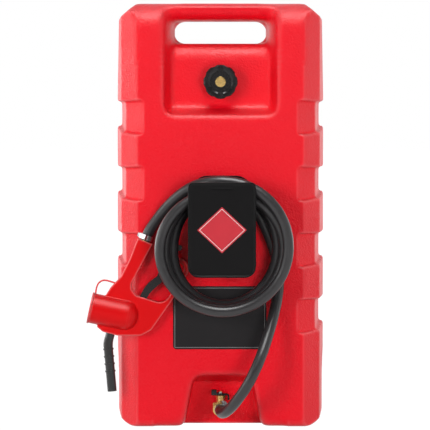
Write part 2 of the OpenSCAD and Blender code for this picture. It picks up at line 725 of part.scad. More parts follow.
// Hose holder: flange and hollow core on the tank, front plate on the core
core_up = 30;
core_low = plate_z + core_up;
core_r = 20;
flange_low_r = 14;
flange_top_r = 30;
plate_y = front - holder_depth;
module rounded(w, z0, z1, low_r, top_r) translate([holder_x, 0]) polygon(concat(
    arc([w/2 - low_r, z0 + low_r], low_r, -90, 0, 6), arc([w/2 - top_r, z1 - top_r], top_r, 0, 90, 6),
    arc([-w/2 + top_r, z1 - top_r], top_r, 90, 180, 6), arc([-w/2 + low_r, z0 + low_r], low_r, 180, 270, 6)
));
module holder_base() color(black) difference() {
    union() {
        prism_y(front - flange_t, front)
            rounded(flange_w, flange_low, flange_top, flange_low_r, flange_top_r);
        prism_y(plate_y, front) core_face(0);
    }
    prism_y(plate_y - eps, front - flange_t) core_face(core_wall);
    at_screws() translate([0, 0, -eps]) cylinder(d = screw_d, h = flange_t + 2*eps);
}
// The core's top is round, under the hose's own curve
module core_face(in) rounded(core_w - 2*in, core_low + in, core_top - in, core_r - in, core_w/2 - 1 - in);
rim_t = 1.2;
lip_w = 40;
lip_h = 13;
module holder_plate() color(black) difference() {
    union() {
        prism_y(plate_y - plate_t, plate_y) plate_face(0);
        prism_y(plate_y, plate_y + plug_len) core_face(core_wall);
    }
    prism_y(plate_y - plate_t - eps, plate_y - plate_t + rim_t) plate_face(rim_w);
    prism_y(plate_y + rim_t, plate_y + plug_len + eps) core_face(2*core_wall);
    prism_y(plate_y - plate_t - eps, plate_y + eps) translate([holder_x - lip_w/2, plate_z + plate_h - lip_h])
        square([lip_w, lip_slit]);
}
plug_len = 8;
rim_w = 3;
lip_slit = 1.5;
module plate_face(in) rounded(plate_w - 2*in, plate_z + in, plate_z + plate_h - in, plate_r - in, 10 - in);
head_d = 9;
head_h = 2.6;
module holder_screws() color(steel) at_screws() {
    translate([0, 0, -screw_len]) cylinder(d = screw_d, h = screw_len + flange_t);
    translate([0, 0, flange_t]) cylinder(d = head_d, h = head_h);
}
placard_t = 0.6;
module placard() color("#c4232b") prism_y(plate_y - plate_t + rim_t - placard_t, plate_y - plate_t + rim_t)
    translate([holder_x, plate_z + plate_h/2]) polygon([
        [-placard_x, 0], [0, -placard_z], [placard_x, 0], [0, placard_z]
    ]);

// Hose: X, depth in front of the tank's face, Z. Chosen points from the valve to the top of the core, loops
// by rule, then chosen points to the nozzle. The loops grow from the inner one at the back to the outer one.
coil_x = holder_x + 2;
coil_z = core_top + hose_d/2 + 0.3 - coil_top;
coil_loops = 3;
coil_depth = 22.8;
climb_back = 25;
loop_rings = 32;
loop_ease = 1.8;
bottom_pull = 0.65;
lead_start = [drain_x, recess_y - hose_z - front, drain_z];
lead_points = [
    [0, 5, 29.5], [2.5, -18.5, 28.5], [9.5, -40, 33], [20, -58.5, 44], [32, -73, 60.5], [44, -82, 78.5],
    [55.5, -85, 99], [65, -82.5, 118.5], [73, -76.5, 137], [80, -67.5, 155], [91, -49, 188], [100, -33, 221],
    [106, -21.5, 252], [107, -17, 281], [103.5, -16.5, 310], [95, -18, 340], [84, -20, 368], [70, -23, 396],
    [50.5, -25.5, 420], [27.5, -27, 433.8]
];
tail_points = [
    [-19, -69, 457.5], [-42, -59, 452], [-63.5, -46.5, 441], [-82.5, -33.5, 426], [-99.5, -22.5, 408.5],
    [-114.5, -15, 390]
];
inlet = [-138.5, 347.1];
inlet_turn = 22;
inlet_dir = [-sin(inlet_turn), -cos(inlet_turn)];
mid_depth = -rest_gap - grip_t/2;
function inlet_at(s) = [inlet.x + s*inlet_dir.x, mid_depth, inlet.y + s*inlet_dir.y];
function smooth(x) = let (c = min(1, max(0, x))) c*c*(3 - 2*c);
function loop_side(t) = coil_out - (coil_out - coil_in)*pow(max(0, 1 - (t - 0.5)/2.5), loop_ease);
function loop_r(t) = let (
    s = sin(360*t), side = loop_side(t),
    high = pow((1 + s)/2, 3), low = pow((1 - s)/2, 3),
    top = t < coil_loops - 0.25 ? coil_top : coil_out
) side + (top - side)*high + bottom_pull*(coil_out - side)*low;
function loop_depth(t) = -coil_depth - coil_step*t + climb_back*smooth((t - coil_loops)/0.45);
function loop_point(t) = [coil_x + loop_r(t)*cos(360*t), loop_depth(t), coil_z + loop_r(t)*sin(360*t)];
coil_points = [for (i = [0:coil_loops*loop_rings]) loop_point(0.25 + i/loop_rings)];
// Each stretch as a smooth curve through its points, with the next stretch's points setting the end slopes
function curve(p, i, u) = let (
    a = p[max(0, i - 1)], b = p[i], c = p[i + 1], d = p[min(len(p) - 1, i + 2)]
) 0.5*(2*b + (c - a)*u + (2*a - 5*b + 4*c - d)*u*u + (3*b - a - 3*c + d)*u*u*u);
function fine(p, first, last, n) = [for (i = [first:last - 1], k = [0:n - 1]) curve(p, i, k/n)];
lead_all = concat([lead_start], lead_points, [for (i = [0:1]) coil_points[i]]);
tail_all = concat(
    [for (i = [len(coil_points) - 2:len(coil_points) - 1]) coil_points[i]],
    tail_points, [for (s = [-hose_d, 0]) inlet_at(s)]
);
lead_path = fine(lead_all, 0, len(lead_all) - 2, 2);
tail_path = concat(fine(tail_all, 1, len(tail_all) - 1, 2), [inlet_at(0)]);
tail_rest = [for (i = [1:len(tail_path) - 1]) tail_path[i]];
route = [for (p = concat(lead_path, coil_points, tail_rest)) p + [0, front, 0]];
last = len(route) - 1;
slopes = [for (i = [0:last])
    i == 0 ? [0, -1, 0] : i == last ? [inlet_dir.x, 0, inlet_dir.y] : unit(route[i + 1] - route[i - 1])];
function carry(u, t) = unit(u - (u*t)*t);
frames = [for (i = 0, u = [1, 0, 0]; i <= last; i = i + 1, u = i <= last ? carry(u, slopes[i]) : u) u];
hose_sides = 12;
function hose_rings(a, b, r) = [for (i = [a:b], j = [0:hose_sides - 1]) let (
    u = frames[i], v = cross(slopes[i], u), w = 360*j/hose_sides
) route[i] + r*(cos(w)*u + sin(w)*v)];
// A hollow tube: the outer skin, the inner skin turned inside out and a flat ring at each end
function skin(count, sides, turn, base) = [for (i = [0:count - 1], j = [0:sides - 1], h = [0, 1]) let (
    a = base + i*sides + j, b = base + i*sides + (j + 1)%sides,
    c = h == 0 ? [a, b, b + sides] : [a, b + sides, a + sides]
) turn ? [c[2], c[1], c[0]] : c];
function end_ring(at, sides, turn, base) = [for (j = [0:sides - 1], h = [0, 1]) let (
    a = at + j, b = at + (j + 1)%sides, c = h == 0 ? [a, b + base, b] : [a, a + base, b + base]
) turn ? [c[2], c[1], c[0]] : c];
module hose(a, b) {
    base = (b - a + 1)*hose_sides;
    polyhedron(
        concat(hose_rings(a, b, hose_d/2), hose_rings(a, b, hose_bore/2)),
        concat(
            skin(b - a, hose_sides, false, 0), skin(b - a, hose_sides, true, base),
            end_ring(0, hose_sides, false, base), end_ring((b - a)*hose_sides, hose_sides, true, base)
        )
    );
}
lead_end = len(lead_path);
coil_end = lead_end + len(coil_points) - 1;
module hose_lead() color(rubber) hose(0, lead_end);
module hose_coil() color(rubber) hose(lead_end, coil_end);
module hose_tail() color(rubber) hose(coil_end, last);
run = [for (i = 0, s = 0; i <= last; i = i + 1, s = i <= last ? s + norm(route[i] - route[i - 1]) : s) s];
gaps = [for (i = [0:last], j = [i + 1:1:last])
    if (run[j] - run[i] > 4*hose_d) norm(route[i] - route[j]) - hose_d];
bends = [for (i = [1:last - 1]) let (
    a = unit(route[i] - route[i - 1]), b = unit(route[i + 1] - route[i]), turn = acos(min(1, a*b))
) if (turn > 0.5) (run[i + 1] - run[i - 1])/2/(turn*PI/180)];
echo(hose_length = run[last], least_gap = min(gaps), tightest_bend = min(bends));

// Nozzle: flat outlines in X and Z, thickness along Y from the tank's face
nozzle_y = front - rest_gap;
split_y = nozzle_y - grip_t/2;
nozzle_top = nozzle_y - grip_t;
guard_foot = [-88.5, 238.5];
guard_turn = 60;
guard_len = 53.5;
guard_along = [cos(guard_turn), sin(guard_turn)];
guard_in = [-sin(guard_turn), cos(guard_turn)];
guard_end = guard_foot + guard_len*guard_along;
hook_at = guard_end + guard_r*guard_in;
hook_sweep = 106;
hook_start = guard_turn - 90;
hook_stop = hook_start + hook_sweep;
tip_at = hook_at + (guard_r - guard_band/2)*[cos(hook_stop), sin(hook_stop)];
neck_edge = [[-152.6, 352.2], [-167, 314.5], [-184, 281], [-203, 261], [-216, 240]];
heel_edge = [[-228, 188], [-217, 179], [-190, 172], [-147, 172], [-128, 182]];
palm_edge = [[-103, 236], [-113, 233.5], [-156, 246.5], [-164, 257], [-164.5, 268], [-134, 325], [-125, 341]];
body_points = concat(
    neck_edge, heel_edge, [guard_foot],
    arc(hook_at, guard_r, hook_start, hook_stop, 12),
    arc(tip_at, guard_band/2, hook_stop + 25, hook_stop + 155, 5),
    arc(hook_at, guard_r - guard_band, hook_stop, hook_start, 12), [guard_foot + guard_band*guard_in],
    palm_edge
);
// Pump barrel: local +Z runs along the barrel from its capped end to its round end, local -X up
barrel_at = [-238.5, 223];
barrel_turn = 102.3;
barrel_y = split_y - 4;
barrel_edge = 24;
back_wall = nozzle_y - barrel_wall;
module at_barrel() translate([barrel_at.x, barrel_y, barrel_at.y]) rotate([0, barrel_turn, 0]) children();
module barrel_form(in) rotate_extrude() polygon(concat(
    [[0, -in], [barrel_d/2 - in, -in]],
    arc([barrel_d/2 - barrel_edge, barrel_len - barrel_edge], barrel_edge - in, 0, 90), [[0, barrel_len - in]]
));
module between(y0, y1) intersection() {
    children();
    prism_y(y0, y1) translate([-2*tank_w, 0]) square([2*tank_w, tank_h]);
}
module barrel_hollow() between(nozzle_top - barrel_d, back_wall) at_barrel() barrel_form(barrel_wall);
// Trigger: the blade is a curve from the pivot past the guard's hook, the crank drives the pump
pivot = [-149, 228];
blade_mid = [-115, 277];
blade_tip = [-76, 334];
blade_low = [[-138, 262], [-130, 266]];
blade_high = [[-104, 285], [-113, 334]];
blade_steps = 12;
function bezier(a, b, c, d, u) = a*pow(1 - u, 3) + 3*b*u*pow(1 - u, 2) + 3*c*u*u*(1 - u) + d*pow(u, 3);
blade = concat(
    [for (i = [0:blade_steps - 1]) bezier(pivot, blade_low[0], blade_low[1], blade_mid, i/blade_steps)],
    [for (i = [0:blade_steps]) bezier(blade_mid, blade_high[0], blade_high[1], blade_tip, i/blade_steps)]
);
blade_last = len(blade) - 1;
blade_swell = 1;
function blade_side(s, swell) = [for (i = [0:blade_last]) let (
    d = unit(blade[min(blade_last, i + 1)] - blade[max(0, i - 1)])
) blade[i] + s*trigger_w/2*(1 + swell*sin(180*pow(i/blade_last, 0.7)))*[-d.y, d.x]];
left_side = blade_side(1, 0);
right_side = blade_side(-1, blade_swell);
hub_r = 11;
crank = 16;
crank_w = 9;
peg_r = 2.5;
peg_gap = 0.5;
eye_gap = 0.6;
eye_t = 3;
eye_edge = 7;
eye_room = [crank + 8, eye_t + 3, 32];
eye_y = split_y - trigger_t/2 - eye_gap;
up = [cos(barrel_turn), sin(barrel_turn)];
axis = [sin(barrel_turn), cos(barrel_turn)];
crank_at = pivot - crank*[-up.x, up.y];
module trigger_face() {
    polygon(concat(left_side, [for (i = [blade_last:-1:0]) right_side[i]]));
    translate(blade_tip) circle(d = trigger_w);
    translate(pivot) circle(r = hub_r);
    translate(crank_at) circle(d = crank_w);
    translate(pivot) rotate(90 - barrel_turn) translate([-crank_w/2, -crank]) square([crank_w, crank]);
}
spring_d = 13;
spring_h = 3.6;
module trigger() color(black) difference() {
    union() {
        prism_y(split_y - trigger_t/2, split_y + trigger_t/2) trigger_face();
        prism_y(eye_y - eye_t + peg_gap, split_y) translate(crank_at) circle(r = peg_r);
    }
    prism_y(split_y - trigger_t, split_y + trigger_t) translate(pivot) circle(d = pin_d + 2*run_fit);
    prism_y(split_y + trigger_t/2 - spring_h, split_y + trigger_t) translate(pivot) circle(d = spring_d);
}
module trigger_pin() color(steel) prism_y(nozzle_top + shell_skin, nozzle_y)
    translate(pivot) circle(d = pin_d);
module trigger_spring() color(steel) translate([pivot.x, split_y + trigger_t/2, pivot.y]) rotate([90, 0, 0])
    helix(spring_d/2 - 1.2, 0.6, spring_h - move_gap, 2, 12, 6);

// Hollows in both halves of the nozzle's shell
shell_skin = 3;
room_points = [[-141, 224], [-131, 252], [-150, 262], [-166, 250], [-160, 222]];
crank_room = [[-162, 226], [-136, 226], [-138, 205], [-160, 202]];
duct_d = 10;
duct_len = 118;
socket_d = 17;
socket_len = 14;
shell_screws = [[-160.5, 318], [-196, 253], [-136, 190], [-120, 214]];
shell_screw_d = 3;
shell_head_d = 6;
shell_head_h = 2.6;
head_sink = 0.4;
module at_inlet() translate([inlet.x, split_y, inlet.y]) rotate([0, 180 + inlet_turn, 0]) children();
module at_shell_screws() for (p = shell_screws) translate([p.x, nozzle_y, p.y]) rotate([90, 0, 0]) children();
module shell_cuts() {
    prism_y(split_y - trigger_t/2 - move_gap, split_y + trigger_t/2 + move_gap) {
        translate(pivot) circle(r = hub_r + 1.5);
        polygon(room_points);
        polygon(crank_room);
    }
    at_inlet() {
        translate([0, 0, -eps]) cylinder(d = socket_d, h = socket_len + eps);
        cylinder(d = duct_d, h = duct_len);
    }
    at_spout() {
        translate([0, 0, -spout_in]) cylinder(d = spout_d, h = spout_in);
        translate([0, 0, -spout_in + collar_up]) cylinder(d = collar_d, h = collar_h);
        translate([0, 0, -spout_in - barrel_wall]) cylinder(d = spout_bore, h = spout_in);
    }
    at_shell_screws() {
        translate([0, 0, -eps]) cylinder(d = shell_head_d, h = head_sink + shell_head_h + eps);
        cylinder(d = shell_screw_d, h = grip_t - shell_skin);
    }
    prism_y(nozzle_top + shell_skin, nozzle_y + eps) translate(pivot) circle(d = pin_d);
    barrel_hollow();
    at_pump() translate([-crank - 2, -eye_t/2 - peg_gap, rod_end - 4]) cube(eye_room);
}
module nozzle_back() color(bright_red) difference() {
    union() {
        prism_y(split_y, nozzle_y) polygon(body_points);
        between(split_y, nozzle_y) at_barrel() barrel_form(0);
    }
    shell_cuts();
}
module nozzle_front() color(bright_red) difference() {
    union() {
        prism_y(nozzle_top, split_y) polygon(body_points);
        between(nozzle_top - barrel_d, split_y) at_barrel() barrel_form(0);
    }
    shell_cuts();
}
module nozzle_screws() color(steel) at_shell_screws() translate([0, 0, head_sink]) {
    cylinder(d = shell_head_d, h = shell_head_h);
    cylinder(d = shell_screw_d, h = grip_t - shell_skin - head_sink);
}
module nozzle_barb() color(brass) at_inlet() difference() {
    union() {
        cylinder(d = socket_d, h = socket_len);
        rotate([180, 0, 0]) barb(barb_len);
    }
    translate([0, 0, -barb_len - eps]) cylinder(d = barb_bore, h = barb_len + socket_len + 2*eps);
}
nozzle_clamp_turn = -60;
clamp_back = 2;
module at_nozzle_clamp() at_inlet() translate([0, 0, -clamp_w - clamp_back])
    rotate([0, 0, nozzle_clamp_turn]) children();
module nozzle_clamp() color(steel) at_nozzle_clamp() clamp_band();
module nozzle_clamp_screw() color(steel) at_nozzle_clamp() clamp_bolt();
loop_t = 3;
loop_points = [[-231, 246], [-229.5, 258], [-226, 267.5], [-219, 273], [-210, 273.5], [-192, 268]];
module loop_bar(a, b) {
    d = unit(b - a)*loop_t/2;
    polygon([a + [d.y, -d.x], b + [d.y, -d.x], b - [d.y, -d.x], a - [d.y, -d.x]]);
}
module hang_loop() color(bright_red) difference() {
    prism_y(split_y - grip_t/6, split_y + grip_t/6) difference() {
        for (i = [0:len(loop_points) - 2]) {
            loop_bar(loop_points[i], loop_points[i + 1]);
            translate(loop_points[i]) circle(d = loop_t);
        }
        polygon(body_points);
    }
    at_barrel() barrel_form(0);
}

// Pump: cylinder, piston with its seal and an eye that the trigger's peg moves
pump_z = 4;
pump_wall = 2;
pump_len = 58;
pump_flange = 4;
pump_shift = eye_y - eye_t/2 - barrel_y;
piston_z = 36;
piston_len = 14;
rod_d = 6;
rod_end = 72;
seal_w = 3;
seal_h = 1.6;
eye_z = (pivot.x - barrel_at.x)*axis.x + (pivot.y - barrel_at.y)*axis.y;
eye_x = crank - (pivot.x - barrel_at.x)*-up.x - (pivot.y - barrel_at.y)*up.y;
module at_pump() at_barrel() translate([0, pump_shift, 0]) children();
module pump_cylinder() color(black) difference() {
    union() {
        intersection() {
            barrel_hollow();
            at_barrel() translate([0, 0, pump_z]) cylinder(d = barrel_d, h = pump_flange);
        }
        at_pump() translate([0, 0, pump_z]) cylinder(d = pump_bore + 2*pump_wall, h = pump_len);
    }
    at_pump() translate([0, 0, pump_z + pump_flange]) cylinder(d = pump_bore, h = pump_len);
    at_pump() cylinder(d = duct_d, h = pump_len);
}
piston_d = pump_bore - 2*move_gap;
module pump_piston() color(steel) at_pump() difference() {
    union() {
        translate([0, 0, piston_z]) cylinder(d = piston_d, h = piston_len);
        translate([0, 0, piston_z]) cylinder(d = rod_d, h = rod_end + 2 - piston_z);
        translate([eye_x - eye_edge, -eye_t/2, rod_end])
            cube([eye_edge + rod_d/2 - eye_x, eye_t, eye_z - rod_end + eye_edge]);
    }
    translate([0, 0, piston_z + (piston_len - seal_w)/2]) ring(piston_d + 1, piston_d - 2*seal_h, seal_w);
    translate([eye_x - eye_edge - eps, -eye_t, eye_z - peg_r - peg_gap])
        cube([eye_edge + eps + peg_r + 1, 2*eye_t, 2*(peg_r + peg_gap)]);
}
module piston_seal() color(rubber) at_pump() translate([0, 0, piston_z + (piston_len - seal_w)/2])
    ring(pump_bore - 2*run_fit, piston_d - 2*seal_h, seal_w);
cap_lip = 3;
module barrel_cap() color(bright_red) between(nozzle_top - barrel_d, nozzle_y) at_barrel() {
    translate([0, 0, -cap_lip]) cylinder(d = barrel_d + 2, h = cap_lip);
}

// Spout: a bent ribbed tube, local origin where its two straight runs meet, local +Z down the upper run
spout_at = [-208.3, 158];
spout_enter = 15;
spout_lean = 5;
spout_turn = spout_enter + spout_lean;
spout_r = 40;
bend_in = spout_r*tan(spout_turn/2);
bend_lap = 3;
bend_over = 0.6;
spout_in = 32;
spout_len = 90;
spout_wall = 2.5;
spout_bore = spout_d - 2*spout_wall;
collar_up = 4;
collar_h = 5;
collar_d = spout_d + 3;
rib_start = 10;
rib_end = 39;
rib_step = (spout_len - rib_start - rib_end)/(spout_ribs - 1);
rib_h = 3;
rib_t = 1.2;
module at_spout() translate([spout_at.x, split_y, spout_at.y]) rotate([0, 180 + spout_enter, 0]) children();
module at_outlet() rotate([0, -spout_turn, 0]) children();
module spout_run(d, over) {
    translate([0, 0, -spout_in - over]) cylinder(d = d, h = spout_in - bend_in + bend_lap + over);
    translate([-spout_r, 0, -bend_in]) rotate([90, 0, 0]) rotate_extrude(angle = spout_turn)
        translate([spout_r, 0]) circle(d = d + bend_over);
    at_outlet() translate([0, 0, bend_in - bend_lap])
        cylinder(d = d, h = spout_len - bend_in + bend_lap + over);
}
module spout() color(black) at_spout() difference() {
    union() {
        spout_run(spout_d, 0);
        at_outlet() for (i = [0:spout_ribs - 1]) translate([0, 0, rib_start + i*rib_step])
            cylinder(d = spout_d + 2*rib_t, h = rib_h);
    }
    spout_run(spout_bore, eps);
}
module spout_collar() color(black) at_spout() translate([0, 0, -spout_in + collar_up])
    ring(collar_d, spout_d, collar_h);

tank_shell();
label_panel();
cap_seal();
cap_body();
vent_body();
vent_plug();
vent_poppet();
vent_spring();
bulkhead_gasket();
bulkhead_nut();
valve_body();
valve_seats();
valve_ball();
valve_stem();
stem_packing();
packing_nut();
valve_lever();
lever_nut();
valve_tailpiece();
valve_clamp();
valve_clamp_screw();
axle();
axle_washers();
axle_caps();
wheel_hub_left();
wheel_tyre_left();
wheel_hub_right();
wheel_tyre_right();
holder_base();
holder_plate();
holder_screws();
placard();
hose_lead();
hose_coil();
hose_tail();
nozzle_clamp();
nozzle_clamp_screw();
nozzle_barb();
nozzle_back();
nozzle_front();
nozzle_screws();
hang_loop();
trigger();
trigger_pin();
trigger_spring();
pump_cylinder();
pump_piston();
piston_seal();
barrel_cap();
spout_collar();
spout();
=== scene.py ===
"""Looks for the fuel caddy: rounded mouldings, the hose as one cord, materials, light and camera."""

import json
import math

import bmesh
import bpy
from mathutils import Matrix, Vector


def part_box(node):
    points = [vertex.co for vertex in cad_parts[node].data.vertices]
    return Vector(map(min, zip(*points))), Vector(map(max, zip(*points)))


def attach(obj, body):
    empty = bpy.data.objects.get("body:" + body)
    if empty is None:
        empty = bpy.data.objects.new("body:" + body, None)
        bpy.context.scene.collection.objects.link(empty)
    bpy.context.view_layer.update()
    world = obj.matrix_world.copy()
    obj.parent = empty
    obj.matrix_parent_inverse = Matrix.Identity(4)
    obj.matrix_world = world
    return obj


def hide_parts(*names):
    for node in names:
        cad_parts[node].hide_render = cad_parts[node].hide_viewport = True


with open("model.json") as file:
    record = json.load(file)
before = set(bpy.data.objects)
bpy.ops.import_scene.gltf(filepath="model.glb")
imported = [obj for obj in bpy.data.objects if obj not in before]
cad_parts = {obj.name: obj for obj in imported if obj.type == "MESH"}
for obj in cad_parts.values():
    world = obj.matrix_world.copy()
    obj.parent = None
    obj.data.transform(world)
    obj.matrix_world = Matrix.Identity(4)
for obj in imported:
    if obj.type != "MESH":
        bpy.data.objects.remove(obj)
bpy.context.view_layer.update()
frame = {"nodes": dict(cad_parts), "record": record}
NODES = frame["nodes"]
BODY = {n: b for b, names in frame["record"]["behaviour"]["bodies"].items() for n in names}
SLOT = {s["node"]: s["material_slot"] for s in frame["record"]["subparts"]}
scene = bpy.context.scene
MM = 0.001
WHITE = (1, 1, 1, 1)


# Nodes that the materials are made of
def shader(name, rough, metallic=0.0, specular=0.5):
    """A new material with its tree, its surface shader and object coordinates."""
    material = bpy.data.materials.new(name)
    material.use_nodes = True
    tree = material.node_tree
    surface = tree.nodes["Principled BSDF"]
    surface.inputs["Roughness"].default_value = rough
    surface.inputs["Metallic"].default_value = metallic
    surface.inputs["Specular IOR Level"].default_value = specular
    place = tree.nodes.new("ShaderNodeTexCoord")
    return material, tree, surface, place.outputs["Object"]


def noise(tree, where, scale, detail=3.0, stretch=None):
    """Noise with scale cells to the metre, closer along the axes that stretch raises."""
    cells = tree.nodes.new("ShaderNodeTexNoise")
    cells.inputs["Scale"].default_value = scale
    cells.inputs["Detail"].default_value = detail
    if stretch:
        mapping = tree.nodes.new("ShaderNodeMapping")
        mapping.inputs["Scale"].default_value = stretch
        tree.links.new(where, mapping.inputs["Vector"])
        where = mapping.outputs["Vector"]
    tree.links.new(where, cells.inputs["Vector"])
    return cells.outputs["Fac"]


def spread(tree, value, low, high, start=0.3, stop=0.7):
    """A value from start to stop, turned into one from low to high."""
    change = tree.nodes.new("ShaderNodeMapRange")
    change.inputs["From Min"].default_value = start
    change.inputs["From Max"].default_value = stop
    change.inputs["To Min"].default_value = low
    change.inputs["To Max"].default_value = high
    tree.links.new(value, change.inputs["Value"])
    return change.outputs["Result"]


def calculate(tree, kind, *values):
    """One step of arithmetic on one or two values, each a number or another node's output."""
    result = tree.nodes.new("ShaderNodeMath")
    result.operation = kind
    for socket, value in zip(result.inputs, values):
        if isinstance(value, (int, float)):
            socket.default_value = value
        else:
            tree.links.new(value, socket)
    return result.outputs["Value"]


def blend_colors(tree, factor, first, second):
    """Two colours, each a tuple or another node's output, mixed by factor."""
    mix = tree.nodes.new("ShaderNodeMix")
    mix.data_type = "RGBA"
    tree.links.new(factor, mix.inputs["Factor"])
    color_a, color_b = mix.inputs[6], mix.inputs[7]
    for socket, color in ((color_a, first), (color_b, second)):
        if isinstance(color, tuple):
            socket.default_value = (*color, 1)
        else:
            tree.links.new(color, socket)
    mixed_color = mix.outputs[2]
    return mixed_color


def bump(tree, surface, height, strength, distance):
    relief = tree.nodes.new("ShaderNodeBump")
    relief.inputs["Strength"].default_value = strength
    relief.inputs["Distance"].default_value = distance
    tree.links.new(height, relief.inputs["Height"])
    tree.links.new(relief.outputs["Normal"], surface.inputs["Normal"])


def darker(color, shade):
    return tuple(c * shade for c in color)


def paler(color, lift):
    return tuple(min(1.0, c + lift) for c in color)


# Materials
FINE_DETAIL = 2.0
# How much paler a fleck is: partly grain tone, partly a painted glint of the pebbled skin
FLECK_AND_GLINT_LIFT = 0.1
# How much paler the painted highlight on a convex edge is
EDGE_HIGHLIGHT_LIFT = 0.3
# An edge gets its painted highlight between these two values of pointiness
EDGE_HIGHLIGHT_START = 0.505
EDGE_HIGHLIGHT_STOP = 0.535
# The gloss changes over patches this many times smaller than the colour's
GLOSS_CLOUD = 9
TARNISH = 45.0
MARKS = 900.0
MARK_DEPTH = 0.05 * MM
MARK_STRENGTH = 0.15
MARK_SMOOTHER = 0.08
MARK_ROUGHER = 0.1


def moulded(
    name, color, rough, shade, cloud, grain=700.0, depth=0.12 * MM, strength=0.35, uneven=0.05, fleck_and_glint=0.0,
    edge=0.0, specular=0.5,
):
    """Moulded plastic or rubber: cloudy colour, uneven gloss, a pebbled skin, flecks that are partly grain
    and partly painted glints, and edges with a painted highlight.
    """
    material, tree, surface, where = shader(name, rough, specular=specular)
    clouds = noise(tree, where, cloud)
    fine = noise(tree, where, grain, FINE_DETAIL)
    base = blend_colors(tree, spread(tree, clouds, 0, 1), darker(color, shade), color)
    # Pale flecks on the fine grain: partly grain tone, partly painted glints of the pebbled skin
    if fleck_and_glint:
        base = blend_colors(tree, spread(tree, fine, 0, fleck_and_glint), base, paler(color, FLECK_AND_GLINT_LIFT))
    # Painted highlight: convex edges, found by their pointiness, are made paler as if they caught the light
    if edge:
        form = tree.nodes.new("ShaderNodeNewGeometry")
        rim = spread(tree, form.outputs["Pointiness"], 0, edge, EDGE_HIGHLIGHT_START, EDGE_HIGHLIGHT_STOP)
        base = blend_colors(tree, rim, base, paler(color, EDGE_HIGHLIGHT_LIFT))
    tree.links.new(base, surface.inputs["Base Color"])
    gloss = spread(tree, noise(tree, where, cloud * GLOSS_CLOUD), rough - uneven, rough + uneven)
    tree.links.new(gloss, surface.inputs["Roughness"])
    bump(tree, surface, fine, strength, depth)
    return material


def metal(name, color, rough, stretch=(1, 1, 1), shade=0.75, amount=1.0):
    """Turned, drawn or plated metal: fine marks along one way and slightly uneven tarnish."""
    material, tree, surface, where = shader(name, rough, metallic=amount)
    tarnish = spread(tree, noise(tree, where, TARNISH), 0, 1)
    tree.links.new(blend_colors(tree, tarnish, darker(color, shade), color), surface.inputs["Base Color"])
    marks = noise(tree, where, MARKS, FINE_DETAIL, stretch)
    gloss = spread(tree, marks, rough - MARK_SMOOTHER, rough + MARK_ROUGHER)
    tree.links.new(gloss, surface.inputs["Roughness"])
    bump(tree, surface, marks, MARK_STRENGTH, MARK_DEPTH)
    return material


# In these, edge sets how strong the painted highlight on convex edges is
MATERIALS = {
    "tank_red": moulded(
        "tank red", (0.86, 0.0005, 0.012), 0.40, shade=0.96, cloud=3.0, grain=320.0, depth=1.3 * MM,
        strength=0.9, fleck_and_glint=0.06, edge=0.25, specular=0.36,
    ),
    "nozzle_red": moulded(
        "nozzle red", (0.71, 0.002, 0.004), 0.36, shade=0.97, cloud=14.0, depth=0.02 * MM,
        strength=0.03, uneven=0.01, edge=0.4, specular=0.22,
    ),
    "black_plastic": moulded(
        "black plastic", (0.0095, 0.0083, 0.0088), 0.27, shade=0.85, cloud=20.0, depth=0.05 * MM,
        strength=0.15, uneven=0.03, specular=0.4,
    ),
    # Darker, less glossy copy of black plastic for the holder: its darker colour is painted shade
    "holder_shaded_black": moulded(
        "holder plastic", (0.007, 0.0066, 0.007), 0.32, shade=0.9, cloud=20.0, depth=0.03 * MM,
        strength=0.05, uneven=0.02, specular=0.13,
    ),
    # Paler copy of black plastic for the spout: its paler colour is a painted highlight of the ribs
    "spout_highlit_black": moulded(
        "spout plastic", (0.019, 0.0178, 0.0178), 0.34, shade=0.8, cloud=120.0, specular=0.52,
    ),
    "label_black": moulded(
        "label film", (0.018, 0.0165, 0.0175), 0.4, shade=0.85, cloud=9.0, depth=0.04 * MM, specular=0.18,
    ),
    "placard_red": moulded(
        "placard film", (0.58, 0.025, 0.04), 0.35, shade=0.92, cloud=18.0, depth=0.04 * MM,
    ),
    "hose_rubber": moulded(
        "hose rubber", (0.026, 0.0245, 0.026), 0.36, shade=0.9, cloud=25.0, grain=1100.0, depth=0.03 * MM,
        strength=0.05, uneven=0.02, specular=0.52,
    ),
    "seal_rubber": moulded("seal rubber", (0.022, 0.022, 0.022), 0.6, shade=0.8, cloud=40.0),
    "tyre_rubber": moulded("tyre rubber", (0.024, 0.024, 0.025), 0.7, shade=0.7, cloud=18.0, grain=420.0),
    "seat_white": moulded("white plastic", (0.8, 0.8, 0.77), 0.4, shade=0.94, cloud=40.0),
    "brass": metal("brass", (0.85, 0.57, 0.2), 0.24, (1, 1, 6), amount=0.75),
    "chrome": metal("plated ball", (0.75, 0.75, 0.76), 0.12, shade=0.92),
    "steel": metal("zinc-plated steel", (0.62, 0.63, 0.64), 0.3, (6, 1, 1)),
}
# Nodes that look a little different from the rest of their material slot: the holder's darker copy of black
# plastic is painted shade, the spout's paler copy a painted highlight of its ribs
LOOKS = {"holder_plate": "holder_shaded_black", "holder_base": "holder_shaded_black", "spout": "spout_highlit_black"}


